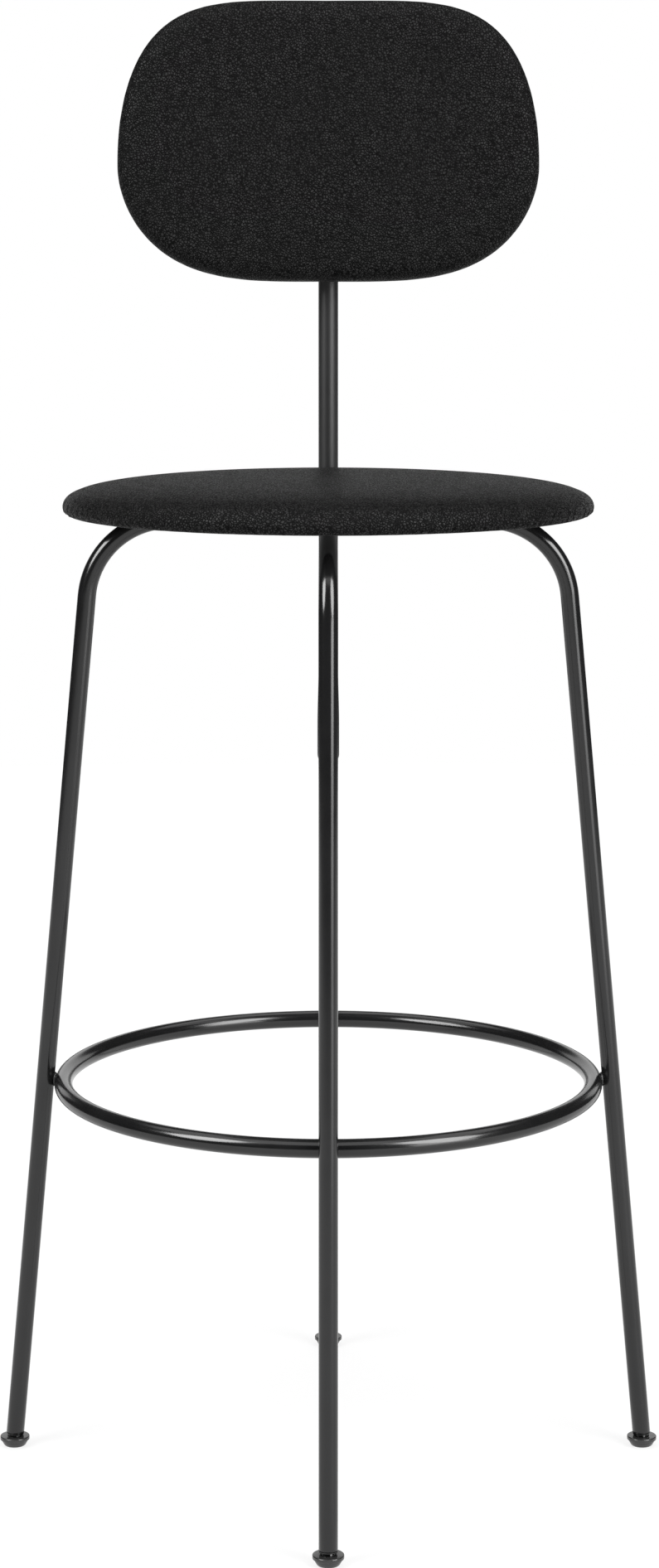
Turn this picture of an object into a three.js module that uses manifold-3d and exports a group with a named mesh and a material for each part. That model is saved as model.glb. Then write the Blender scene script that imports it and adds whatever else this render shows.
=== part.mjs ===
// Bar stool with a ring footrest: four bent tube legs, a round padded seat and a padded backrest on one post.
// Millimetres, +Z up. The origin is the centre of the footprint on the floor. The sitter faces -Y.
import * as THREE from "three";
import { mergeVertices } from "three/addons/utils/BufferGeometryUtils.js";
import Module from "manifold-3d";

const wasm = await Module();
wasm.setup();

// ---- Driving dimensions ----
const GAP = 0.3; // between pieces that touch
const TUBE_R = 7; // leg and footrest tube
const TUBE_WALL = 1.5;
const LEG_LEAN = THREE.MathUtils.degToRad(5.5);
const FOOT_RADIUS = 249; // where a leg's axis meets the floor, from the centre
const LEG_TOP_Z = 734; // centreline of the level run under the seat
const LEG_BEND_R = 64;
const HUB_R = 10.7;
const HUB_HEIGHT = 15;
const RING_R = 205.8; // centreline of the footrest
const RING_Z = 298;
const VENT_R = 1.5;

const BALL_R = 5.4; // tilting glide
const BALL_Z = 7;
const SOCKET_CLEARANCE = 0.25;
const COLLAR_START = 2.5; // along the leg's axis from the ball's centre
const COLLAR_END = 3.4;
const COLLAR_R = 6.8;
const PLUG_STEM_R = 4.8;
const PLUG_LENGTH = 20;
const GLIDE_R = 11.6;
const GLIDE_HEIGHT = 8;
const GLIDE_SOLE_R = 6.5;

const SEAT_R = 201;
const SEAT_RIM_Z = 740.2; // height of the widest line
const SEAT_CROWN = 26.3; // from the widest line to the top of the crown
const SEAT_LIP = 1.5; // how far the lower edge hangs below the widest line
const SEAT_LIP_INSET = 16;
const LEATHER = 1.4;
const HEM_R = 166;
const HEM_Z = 741;
const BOARD_R = 178;
const BOARD_BASE_Z = 742.7;
const BOARD_THICKNESS = 10;
const SEAT_SIDES = 40;

const SEAT_SCREW_RADIUS = 80; // from the middle of the seat
const SEAT_SCREW = { shankR: 2.95, headR: 6 };
const SEAT_NUT = { boreR: 3.1, barrelR: 4.1, flangeR: 9.6 };
const BACK_SCREW = { shankR: 2.4, headR: 4.6 };
const BACK_NUT = { boreR: 2.6, barrelR: 4, flangeR: 4.2 };
const NUT_FLANGE = 1.2;
const SCREW_SLACK = 0.5; // between a screw's shank and its hole in steel

const POST_R = 8;
const POST_Y = 211.5;
const POST_TOP_Z = 1058;
const POST_TIP_Z = 512.5;
const POST_PRESS_START_Z = 600; // above this the post is round
const POST_PRESS_END_Z = 545; // below this it is fully pressed
const PRESSED_HALF_WIDTH = 9;
const PRESSED_HALF_DEPTH = 6.4;
const STAY_Z = 690;
const STAY_R = 5;
const CAP_DEPTH = 14; // how far the post's end cap reaches into it
const CAP_HEIGHT = 3;

const BACK_HALF_WIDTH = 167.4;
const BACK_MID_Z = 999.6; // height of the widest line
const BACK_RISE = 131; // from the widest line to the top edge
const BACK_DROP = 89.9; // and to the bottom edge
const BACK_TOP_BULGE = [4.65, 2.14]; // the outline's exponents across and up
const BACK_BOTTOM_BULGE = [3.7, 1.79];
const BACK_FRONT_Y = 170;
const BACK_REAR_Y = 199.8;
const BACK_RIM_WIDTH = 30; // band inside the outline that keeps an even width
const BACK_CURVE_R = 700;
const BACK_SIDES = 36;
const REAR_PANEL_INSET = 14;
const SHELL_INSET = 17;
const SHELL_THICKNESS = 9;
const LAYER_GAP = 0.8; // between bent layers
const PLATE_HALF_WIDTH = 28;
const PLATE_HALF_HEIGHT = 55;
const PLATE_THICKNESS = 3;
const PLATE_CORNER_R = 8;
const PLATE_Z = 1000;
const PLATE_SCREW_X = 18;
const PLATE_SCREW_Z = 38; // above and below the plate's middle

// Each side's leg is made towards +X and turned about Z.
const SIDES = [["right", 0], ["rear", Math.PI / 2], ["left", Math.PI], ["front", -Math.PI / 2]];

// ---- Materials ----
const finish = (color, roughness, metalness) =>
  new THREE.MeshStandardMaterial({ color, roughness, metalness });
const MATERIALS = {
  steel: finish(0x1c1c1d, 0.35, 0.3),
  leather: finish(0x1b1b1c, 0.55, 0),
  foam: finish(0xd9d2b8, 0.95, 0),
  ply: finish(0xc39a63, 0.7, 0),
  zinc: finish(0xb4b6b8, 0.35, 1),
  nylon: finish(0x2a2a2b, 0.5, 0),
  lining: finish(0x202022, 0.95, 0),
};

// ---- Geometry helpers ----
const stool = new THREE.Group();

function add(name, geometry, material, parent = stool) {
  const mesh = new THREE.Mesh(geometry, MATERIALS[material]);
  mesh.name = name;
  parent.add(mesh);
  return mesh;
}

function solidOf(geometry) {
  const bare = geometry.index ? geometry.toNonIndexed() : geometry.clone();
  bare.deleteAttribute("normal");
  bare.deleteAttribute("uv");
  const merged = mergeVertices(bare, 1e-3);
  return new wasm.Manifold(
    new wasm.Mesh({
      numProp: 3,
      vertProperties: merged.attributes.position.array,
      triVerts: new Uint32Array(merged.index.array),
    }),
  );
}

function geometryOf(solid) {
  const mesh = solid.getMesh();
  const geometry = new THREE.BufferGeometry();
  geometry.setAttribute("position", new THREE.BufferAttribute(mesh.vertProperties, 3));
  geometry.setIndex(new THREE.BufferAttribute(mesh.triVerts, 1));
  return geometry;
}

function cut(geometry, ...tools) {
  return geometryOf(tools.reduce((solid, tool) => solid.subtract(solidOf(tool)), solidOf(geometry)));
}

// A solid of revolution about Z. The profile is [radius, z] points, up the outside.
function lathe(profile, segments) {
  const points = profile.map(([r, z]) => new THREE.Vector2(r, z));
  return new THREE.LatheGeometry(points, segments).rotateX(Math.PI / 2);
}

// A closed ring of revolution: the profile goes round and back to its first point.
const latheRing = (profile, segments) => lathe([...profile, profile[0]], segments);

function rod(radius, bottom, top, segments = 10) {
  return lathe([[0, bottom], [radius, bottom], [radius, top], [0, top]], segments);
}

// Points of a curve p(t) for t from 0 to 1.
const sample = (steps, p) => Array.from({ length: steps + 1 }, (_, i) => p(i / steps));

// ---- Legs ----
// The axis of a leg in the XZ plane: straight up the lean, round the bend, then level to the hub.
const TURN = Math.PI / 2 - LEG_LEAN;
const BEND_END_X =
  FOOT_RADIUS - Math.tan(LEG_LEAN) * (LEG_TOP_Z - LEG_BEND_R) - LEG_BEND_R / Math.cos(LEG_LEAN);
const bendPoint = (turned) =>
  new THREE.Vector3(
    BEND_END_X + LEG_BEND_R * Math.cos(LEG_LEAN + turned),
    0,
    LEG_TOP_Z - LEG_BEND_R + LEG_BEND_R * Math.sin(LEG_LEAN + turned),
  );
const BALL_X = FOOT_RADIUS - Math.tan(LEG_LEAN) * BALL_Z;
const alongLeg = (distance) =>
  new THREE.Vector3(BALL_X - distance * Math.sin(LEG_LEAN), 0, BALL_Z + distance * Math.cos(LEG_LEAN));

class LegAxis extends THREE.Curve {
  constructor(bendSteps, hubEnd) {
    super();
    const bend = sample(bendSteps, (t) => bendPoint(t * TURN));
    this.points = [alongLeg(COLLAR_END + GAP), ...bend, new THREE.Vector3(hubEnd, 0, LEG_TOP_Z)];
  }
  get steps() {
    return this.points.length - 1;
  }
  getUtoTmapping(u) {
    return u;
  }
  getPoint(t) {
    const at = t * this.steps;
    const i = Math.min(Math.floor(at), this.steps - 1);
    return this.points[i].clone().lerp(this.points[i + 1], at - i);
  }
  // Tangents halve the angle at each joint of the line, so that the section stays round.
  getTangentAt(u) {
    const i = Math.round(u * this.steps);
    const before = this.points[Math.max(i - 1, 0)];
    const after = this.points[Math.min(i + 1, this.steps)];
    const back = this.points[i].clone().sub(before).normalize();
    const forward = after.clone().sub(this.points[i]).normalize();
    return back.add(forward).normalize();
  }
}

function circlePoints(radius, sides) {
  const at = (t) => new THREE.Vector2(radius, 0).rotateAround(new THREE.Vector2(), 2 * Math.PI * t);
  return sample(sides, at).slice(0, sides);
}

function legTube(radius, wall) {
  const axis = new LegAxis(8, HUB_R + 0.5);
  const shape = new THREE.Shape(circlePoints(radius, 16));
  if (wall) shape.holes.push(new THREE.Path(circlePoints(radius - wall, 10)));
  return new THREE.ExtrudeGeometry(shape, { steps: axis.steps, extrudePath: axis, curveSegments: 1 });
}

function makeLegs() {
  const holeR = SEAT_SCREW.shankR + SCREW_SLACK;
  const hole = rod(holeR, LEG_TOP_Z - 2 * TUBE_R, LEG_TOP_Z + 2 * TUBE_R).translate(SEAT_SCREW_RADIUS, 0, 0);
  const leg = cut(legTube(TUBE_R, TUBE_WALL), hole);
  for (const [side, turn] of SIDES) add(`leg_${side}`, leg, "steel").rotation.z = turn;
  add("leg_hub", rod(HUB_R, LEG_TOP_Z - HUB_HEIGHT / 2, LEG_TOP_Z + HUB_HEIGHT / 2 - 1, 20), "steel");
}

// ---- Footrest ring ----
function makeFootrest() {
  const outer = new THREE.TorusGeometry(RING_R, TUBE_R, 14, 56).translate(0, 0, RING_Z);
  const inner = new THREE.TorusGeometry(RING_R, TUBE_R - TUBE_WALL, 6, 40).translate(0, 0, RING_Z);
  const ventAt = RING_R * Math.SQRT1_2;
  const vent = rod(VENT_R, RING_Z - TUBE_R - 1, RING_Z, 8).translate(ventAt, ventAt, 0);
  add("footrest_ring", cut(outer, inner, vent), "steel");
}

// ---- Tilting glides ----
// The plug's ball sits in the glide's socket. The plug's frame has +Z up the leg from the ball's centre.
function plugGeometry() {
  const ballTop = Math.acos(COLLAR_START / BALL_R);
  const ball = sample(7, (t) => {
    const a = Math.PI - t * (Math.PI - ballTop);
    return [t ? BALL_R * Math.sin(a) : 0, BALL_R * Math.cos(a)];
  });
  const stemTop = COLLAR_END + PLUG_LENGTH;
  const collar = [[COLLAR_R, COLLAR_START], [COLLAR_R, COLLAR_END], [PLUG_STEM_R, COLLAR_END]];
  const stem = [[PLUG_STEM_R, stemTop - 2], [PLUG_STEM_R - 1, stemTop], [0, stemTop]];
  return lathe([...ball, ...collar, ...stem], 16);
}

// The glide's frame has its origin on the floor under the ball.
function glideGeometry() {
  const socketR = BALL_R + SOCKET_CLEARANCE;
  const mouth = Math.acos((GLIDE_HEIGHT - BALL_Z) / socketR);
  const socket = sample(6, (t) => {
    const a = mouth + t * (Math.PI - mouth);
    return [t < 1 ? socketR * Math.sin(a) : 0, BALL_Z + socketR * Math.cos(a)];
  });
  const bowl = [[0, 0], [GLIDE_SOLE_R, 0], [8, 0.7], [9.2, 2], [10.2, 3.9]];
  const rim = [[GLIDE_R, 5.1], [GLIDE_R, GLIDE_HEIGHT - 0.5], [GLIDE_R - 0.5, GLIDE_HEIGHT]];
  return lathe([...bowl, ...rim, ...socket], 18);
}

function makeGlides() {
  const plug = plugGeometry();
  const glide = glideGeometry();
  for (const [side, turn] of SIDES) {
    const foot = new THREE.Group();
    foot.rotation.z = turn;
    stool.add(foot);
    const ball = add(`glide_plug_${side}`, plug, "nylon", foot);
    ball.position.set(BALL_X, 0, BALL_Z);
    ball.rotation.y = -LEG_LEAN;
    add(`glide_${side}`, glide, "nylon", foot).position.x = BALL_X;
  }
}

// ---- Seat ----
// Upper outline of the seat from the widest line to the middle, drawn in by an inset.
const seatTop = (inset, steps) =>
  sample(steps, (t) => {
    const a = (t * Math.PI) / 2;
    const r = (SEAT_R - inset) * Math.cos(a) ** (2 / 3.2);
    return [t < 1 ? r : 0, SEAT_RIM_Z + (SEAT_CROWN - inset) * Math.sin(a) ** (2 / 3.6)];
  });

// Lower edge from the lip up to the widest line, drawn in by an inset.
const seatLip = (inset) =>
  sample(3, (t) => {
    const a = (t * Math.PI) / 2;
    const r = SEAT_R - SEAT_LIP_INSET + (SEAT_LIP_INSET - inset) * Math.sqrt(Math.sin(a));
    return [r, SEAT_RIM_Z - (SEAT_LIP - inset) * Math.cos(a)];
  }).slice(0, 3);

function makeSeat() {
  const boardTop = BOARD_BASE_Z + BOARD_THICKNESS;
  const outside = [[HEM_R, HEM_Z], ...seatLip(0), ...seatTop(0, 7)];
  const inside = [[HEM_R, HEM_Z + LEATHER], ...seatLip(LEATHER), ...seatTop(LEATHER, 7)];
  add("seat_cover", lathe([...inside.reverse(), ...outside], SEAT_SIDES), "leather");
  const inset = LEATHER + GAP;
  const wellR = BOARD_R + GAP;
  const well = [[0, boardTop + GAP], [wellR, boardTop + GAP], [wellR, BOARD_BASE_Z + GAP]];
  add("seat_foam", lathe([...well, ...seatLip(inset), ...seatTop(inset, 7)], SEAT_SIDES), "foam");
  makeSeatBoard(boardTop);
  makeSeatFixings(boardTop);
}

const atSeatScrew = (geometry, turn) => geometry.translate(SEAT_SCREW_RADIUS, 0, 0).rotateZ(turn);

function makeSeatBoard(boardTop) {
  const { barrelR, flangeR } = SEAT_NUT;
  const recessBottom = boardTop - NUT_FLANGE - GAP;
  const barrels = SIDES.map(([, turn]) => atSeatScrew(rod(barrelR + GAP, HEM_Z, boardTop + 1), turn));
  const recess = () => rod(flangeR + 2 * GAP, recessBottom, boardTop + 1, 12);
  const recesses = SIDES.map(([, turn]) => atSeatScrew(recess(), turn));
  const board = rod(BOARD_R, BOARD_BASE_Z, boardTop, SEAT_SIDES);
  add("seat_board", cut(board, ...barrels, ...recesses), "ply");
  const lining = rod(HEM_R - 1, HEM_Z + 0.4, HEM_Z + 1.2, SEAT_SIDES);
  const holes = SIDES.map(([, turn]) => atSeatScrew(rod(barrelR, HEM_Z, HEM_Z + 2), turn));
  add("seat_lining", cut(lining, ...holes), "lining");
}

// A button-head screw up the Z axis, from the underside of its head to its tip.
function screwGeometry({ shankR, headR }, seatZ, tipZ) {
  const headBottom = seatZ - headR * 0.55;
  const socketR = headR * 0.36;
  const socketTop = headBottom + headR * 0.27;
  const socket = [[0, socketTop], [socketR, socketTop], [socketR, headBottom]];
  const head = [[headR * 0.6, headBottom], [headR * 0.92, headBottom + 1.3], [headR, seatZ]];
  const shank = [[shankR, seatZ], [shankR, tipZ - 0.6], [shankR - 0.6, tipZ], [0, tipZ]];
  return lathe([...socket, ...head, ...shank], 10);
}

// A flanged nut: its barrel runs up from bottom and its flange ends at top.
function nutGeometry({ boreR, barrelR, flangeR }, bottom, top) {
  const flangeBottom = top - NUT_FLANGE;
  const barrel = [[boreR, bottom], [barrelR, bottom], [barrelR, flangeBottom]];
  return latheRing([...barrel, [flangeR, flangeBottom], [flangeR, top], [boreR, top]], 10);
}

function makeSeatFixings(boardTop) {
  const screw = screwGeometry(SEAT_SCREW, LEG_TOP_Z - TUBE_R - GAP, boardTop - 1.9);
  const nut = nutGeometry(SEAT_NUT, BOARD_BASE_Z + 0.5, boardTop - 0.1);
  for (const [side, turn] of SIDES) {
    const arm = new THREE.Group();
    arm.rotation.z = turn;
    stool.add(arm);
    add(`seat_screw_${side}`, screw, "zinc", arm).position.x = SEAT_SCREW_RADIUS;
    add(`seat_nut_${side}`, nut, "zinc", arm).position.x = SEAT_SCREW_RADIUS;
  }
}

// ---- Post ----
// The post is turned round, then its lower end is pressed to an oval that follows the rear leg.
function pressed(geometry) {
  const points = geometry.attributes.position;
  for (let i = 0; i < points.count; i++) {
    const z = points.getZ(i);
    const share = THREE.MathUtils.smoothstep(z, POST_PRESS_END_Z, POST_PRESS_START_Z);
    const wide = THREE.MathUtils.lerp(PRESSED_HALF_WIDTH / POST_R, 1, share);
    const deep = THREE.MathUtils.lerp(PRESSED_HALF_DEPTH / POST_R, 1, share);
    const legFace = FOOT_RADIUS - Math.tan(LEG_LEAN) * z + TUBE_R / Math.cos(LEG_LEAN);
    const y = THREE.MathUtils.lerp(legFace + GAP + PRESSED_HALF_DEPTH, POST_Y, share);
    points.setXYZ(i, points.getX(i) * wide, points.getY(i) * deep + y, z);
  }
  return geometry;
}

function postGeometry() {
  const r = POST_R;
  const bore = POST_R - TUBE_WALL;
  const tip = sample(4, (t) => {
    const a = (t * Math.PI) / 2;
    return [t ? r * Math.sin(a) : 0, POST_TIP_Z + PRESSED_HALF_WIDTH * (1 - Math.cos(a))];
  });
  const side = sample(4, (t) => [r, THREE.MathUtils.lerp(POST_PRESS_END_Z, POST_PRESS_START_Z, t)]);
  const boreBottom = POST_PRESS_START_Z + 12;
  const top = [[r, POST_TOP_Z], [bore, POST_TOP_Z], [bore, boreBottom + 3], [0, boreBottom]];
  return pressed(lathe([...tip, ...side, ...top], 20));
}

function makePost() {
  add("backrest_post", postGeometry(), "steel");
  const legShape = legTube(TUBE_R + GAP, 0).rotateZ(Math.PI / 2);
  const postShape = rod(POST_R + GAP, STAY_Z - 20, STAY_Z + 20, 20).translate(0, POST_Y, 0);
  const bar = rod(STAY_R, 0, POST_Y - 180).rotateX(-Math.PI / 2).translate(0, 180, STAY_Z);
  add("post_stay", cut(bar, legShape, postShape), "steel");
  const plugR = POST_R - TUBE_WALL - GAP;
  const capTop = POST_TOP_Z + GAP;
  const plugEnd = POST_TOP_Z - CAP_DEPTH;
  const plug = [[0, plugEnd], [plugR - 0.6, plugEnd], [plugR, plugEnd + 2], [plugR, capTop]];
  const dome = [[POST_R, capTop], [POST_R, capTop + CAP_HEIGHT / 2], [POST_R - 2, capTop + CAP_HEIGHT - 0.4]];
  add("post_cap", lathe([...plug, ...dome, [0, capTop + CAP_HEIGHT]], 16).translate(0, POST_Y, 0), "nylon");
}

// ---- Backrest ----
// A form is a solid of revolution spread to the backrest's outline and bent round the sitter's back.
// Its profile is [reach, y] points from the rear middle, over the edge, to the front middle. A reach
// of 0 to 1 is a share of the outline inside the rim band, and edge() gives a place in the band.
const edge = (inset) => 2 - inset / BACK_RIM_WIDTH;
const ACROSS = [0, 0.5, 1];

// How far the outline lies in a direction, where a half-width and a rise or drop count as 1:
// across ** bulgeX + up ** bulgeZ is 1 on it.
function outlineReach(across, up, [bulgeX, bulgeZ]) {
  let [low, high] = [0.9, 1.5];
  while (high - low > 1e-6) {
    const middle = (low + high) / 2;
    const inside = Math.abs(middle * across) ** bulgeX + Math.abs(middle * up) ** bulgeZ < 1;
    [low, high] = inside ? [middle, high] : [low, middle];
  }
  return low;
}

function backrestForm(profile) {
  const geometry = lathe(profile.map(([reach, y]) => [reach, -y]), BACK_SIDES);
  const points = geometry.attributes.position;
  for (let i = 0; i < points.count; i++) {
    const reach = Math.hypot(points.getX(i), points.getY(i));
    const angle = Math.atan2(points.getY(i), points.getX(i));
    const share = Math.min(reach, 1);
    const inset = BACK_RIM_WIDTH * (2 - Math.max(reach, 1));
    const [tall, bulges] = angle > 0 ? [BACK_RISE, BACK_TOP_BULGE] : [BACK_DROP, BACK_BOTTOM_BULGE];
    const spread = share * outlineReach(Math.cos(angle), Math.sin(angle), bulges);
    const x = spread * (BACK_HALF_WIDTH - inset) * Math.cos(angle);
    const z = spread * (tall - inset) * Math.sin(angle);
    points.setXYZ(i, x, -points.getZ(i) - x ** 2 / (2 * BACK_CURVE_R), BACK_MID_Z + z);
  }
  return geometry;
}

// A sheet or board with a square edge.
function slabForm(inset, front, rear) {
  const back = ACROSS.map((reach) => [reach, rear]);
  const face = ACROSS.map((reach) => [reach, front]).reverse();
  return backrestForm([...back, [edge(inset), rear], [edge(inset), front], ...face]);
}

// The pad's outside, drawn in by an inset, with a half-round edge.
function padForm(inset) {
  const half = (BACK_REAR_Y - BACK_FRONT_Y) / 2 - inset;
  const middle = (BACK_REAR_Y + BACK_FRONT_Y) / 2;
  const back = ACROSS.map((reach) => [reach, middle + half]);
  const face = ACROSS.map((reach) => [reach, middle - half]).reverse();
  const round = sample(6, (t) => {
    const a = (t - 0.5) * Math.PI;
    return [edge(inset + half * (1 - Math.cos(a))), middle - half * Math.sin(a)];
  });
  return backrestForm([...back, ...round, ...face]);
}

// A solid made up the Z axis, turned to lie along -Y at one of the plate's screws.
const atPlateScrew = (geometry, [x, z]) => geometry.rotateX(Math.PI / 2).translate(x, 0, z);
const PLATE_SCREWS = [-1, 1].flatMap((across) =>
  [-1, 1].map((up) => [across * PLATE_SCREW_X, PLATE_Z + up * PLATE_SCREW_Z]),
);
const plateHoles = (radius, front, rear) =>
  PLATE_SCREWS.map((place) => atPlateScrew(rod(radius, -rear, -front), place));

function makeBackrest() {
  const innerRear = BACK_REAR_Y - LEATHER;
  const shellRear = innerRear - LAYER_GAP;
  const shellFront = shellRear - SHELL_THICKNESS;
  const open = slabForm(REAR_PANEL_INSET, innerRear - 1, BACK_REAR_Y + 1);
  add("backrest_front_cover", cut(padForm(0), padForm(LEATHER), open), "leather");
  const panel = slabForm(REAR_PANEL_INSET + GAP, innerRear, BACK_REAR_Y);
  const panelHoles = plateHoles(BACK_SCREW.shankR + 0.8, innerRear - 1, BACK_REAR_Y + 1);
  add("backrest_rear_cover", cut(panel, ...panelHoles), "leather");
  const shell = slabForm(SHELL_INSET, shellFront, shellRear);
  const shellHoles = plateHoles(BACK_NUT.barrelR + GAP, shellFront - 1, BACK_REAR_Y);
  add("backrest_shell", cut(shell, ...shellHoles), "ply");
  const well = slabForm(SHELL_INSET - GAP, shellFront - LAYER_GAP, BACK_REAR_Y + 1);
  add("backrest_foam", cut(padForm(LEATHER + LAYER_GAP), well), "foam");
  makeBackrestFixings(shellFront, shellRear);
}

function plateGeometry(front) {
  const w = PLATE_HALF_WIDTH - PLATE_CORNER_R;
  const h = PLATE_HALF_HEIGHT - PLATE_CORNER_R;
  const outline = new THREE.Shape();
  [[w, h], [-w, h], [-w, -h], [w, -h]].forEach(([x, z], i) =>
    outline.absarc(x, z, PLATE_CORNER_R, (i * Math.PI) / 2, ((i + 1) * Math.PI) / 2),
  );
  const depth = PLATE_THICKNESS;
  const plate = new THREE.ExtrudeGeometry(outline, { depth, bevelEnabled: false, curveSegments: 3 });
  return plate.rotateX(Math.PI / 2).translate(0, front + depth, PLATE_Z);
}

function makeBackrestFixings(shellFront, shellRear) {
  const plateFront = POST_Y - POST_R - GAP - PLATE_THICKNESS;
  const plateRear = plateFront + PLATE_THICKNESS;
  const holes = plateHoles(BACK_SCREW.shankR + SCREW_SLACK, plateFront - 1, plateRear + 1);
  add("backrest_plate", cut(plateGeometry(plateFront), ...holes), "steel");
  const screw = screwGeometry(BACK_SCREW, -plateRear - GAP, -shellFront - 1.5);
  const nut = nutGeometry(BACK_NUT, -shellRear + GAP, -shellFront - GAP);
  PLATE_SCREWS.forEach((place, i) => {
    add(`backrest_screw_${i + 1}`, atPlateScrew(screw.clone(), place), "zinc");
    add(`backrest_nut_${i + 1}`, atPlateScrew(nut.clone(), place), "zinc");
  });
}

makeLegs();
makeFootrest();
makeGlides();
makeSeat();
makePost();
makeBackrest();

export default stool;
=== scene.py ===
"""Looks for the bar stool: painted tubes, welds, leather pads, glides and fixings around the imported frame.
Metres, +Z up, the sitter faces -Y. Each leg is made towards +X and turned about Z to its side."""

import math

import bmesh
import bpy
import numpy as np
from mathutils import Euler, Matrix, Vector, noise
from mathutils.bvhtree import BVHTree


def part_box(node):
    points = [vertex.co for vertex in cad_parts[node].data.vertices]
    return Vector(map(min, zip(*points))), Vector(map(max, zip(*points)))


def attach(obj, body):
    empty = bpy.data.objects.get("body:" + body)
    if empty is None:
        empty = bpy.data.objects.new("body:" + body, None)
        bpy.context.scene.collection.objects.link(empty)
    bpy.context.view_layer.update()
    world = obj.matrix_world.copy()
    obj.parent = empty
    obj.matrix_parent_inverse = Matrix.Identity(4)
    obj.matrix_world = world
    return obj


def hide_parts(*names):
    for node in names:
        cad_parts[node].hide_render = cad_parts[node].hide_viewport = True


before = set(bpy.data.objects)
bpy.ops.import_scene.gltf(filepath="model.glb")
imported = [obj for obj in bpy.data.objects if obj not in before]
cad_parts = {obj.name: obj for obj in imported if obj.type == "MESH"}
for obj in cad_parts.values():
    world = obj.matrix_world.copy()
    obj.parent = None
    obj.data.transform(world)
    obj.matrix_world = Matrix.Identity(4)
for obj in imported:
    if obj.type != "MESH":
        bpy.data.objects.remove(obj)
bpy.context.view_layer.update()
MM = 0.001
SIDES = {"right": 0, "rear": math.pi / 2, "left": math.pi, "front": -math.pi / 2}


# ---------------------------------------------------------------- sizes from the frame
def middle_of(node):
    low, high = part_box(node)
    return (low + high) / 2


def size_of(node):
    low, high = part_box(node)
    return high - low


LEAN = math.radians(5.5)
TUBE_R = size_of("leg_right").y / 2
TUBE_WALL = 1.5 * MM
LEG_TOP_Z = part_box("leg_right")[1].z - TUBE_R
LEG_BEND_R = 64 * MM
BALL_X = middle_of("glide_right").x
BALL_Z = 7 * MM
FOOT_X = BALL_X + BALL_Z * math.tan(LEAN)
HUB_R = size_of("leg_hub").x / 2
RING_Z = middle_of("footrest_ring").z
RING_R = size_of("footrest_ring").x / 2 - TUBE_R
POST_R = size_of("post_cap").x / 2
POST_Y = middle_of("post_cap").y
POST_TIP_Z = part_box("backrest_post")[0].z
POST_TOP_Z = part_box("backrest_post")[1].z
STAY_Z = middle_of("post_stay").z
SEAT_R = size_of("seat_cover").x / 2
SEAT_BOTTOM_Z, SEAT_TOP_Z = (corner.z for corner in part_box("seat_cover"))
HEM_R = size_of("seat_lining").x / 2
LINING_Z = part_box("seat_lining")[0].z
BACK_LOW, BACK_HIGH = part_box("backrest_front_cover")
BACK_CURVE_R = 0.7
BACK_REAR_Y = BACK_HIGH.y
BACK_DROP = 89.9 * MM  # from the backrest's widest level down to its lower edge
BACK_MID_Z = BACK_LOW.z + BACK_DROP
BACK_HALF_WIDTH = BACK_HIGH.x
BACK_FRONT_Y = 170 * MM  # the pad's front before it is bent
BACK_EDGE_R = 15 * MM


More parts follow.
